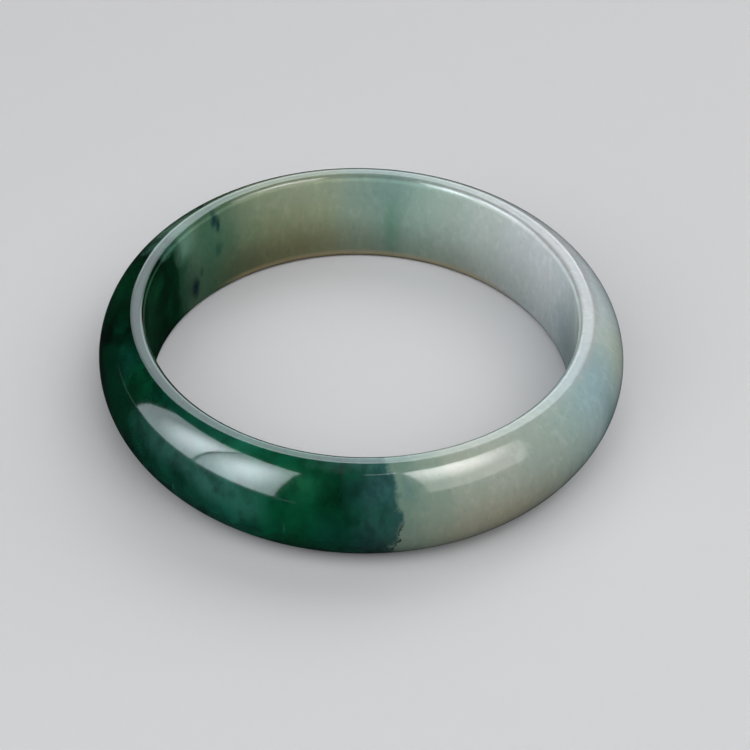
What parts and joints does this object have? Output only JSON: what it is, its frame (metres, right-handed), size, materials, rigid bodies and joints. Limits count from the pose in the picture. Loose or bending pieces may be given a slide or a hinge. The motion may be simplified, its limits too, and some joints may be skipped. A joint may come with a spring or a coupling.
{
  "type": "bangle bracelet",
  "caption": "Plain rigid bangle, a closed polished stone ring with a domed outside, a straight inner wall and narrow flat rims.",
  "frame": {"origin": "centre of the wrist bore, in the plane that the lower rim rests on", "axes": "+Z along the bore, from the lower rim to the upper rim; the ring is a body of revolution, so X and Y are set only by the stone's colours, whose deep green stretch faces -X"},
  "size_m": [0.0688, 0.0688, 0.0145],
  "materials": {
    "jade": "high polish, translucent, green shading to pale grey-green"
  },
  "bodies": {
    "root": {"bangle_ring": "jade"}
  },
  "joints": []
}
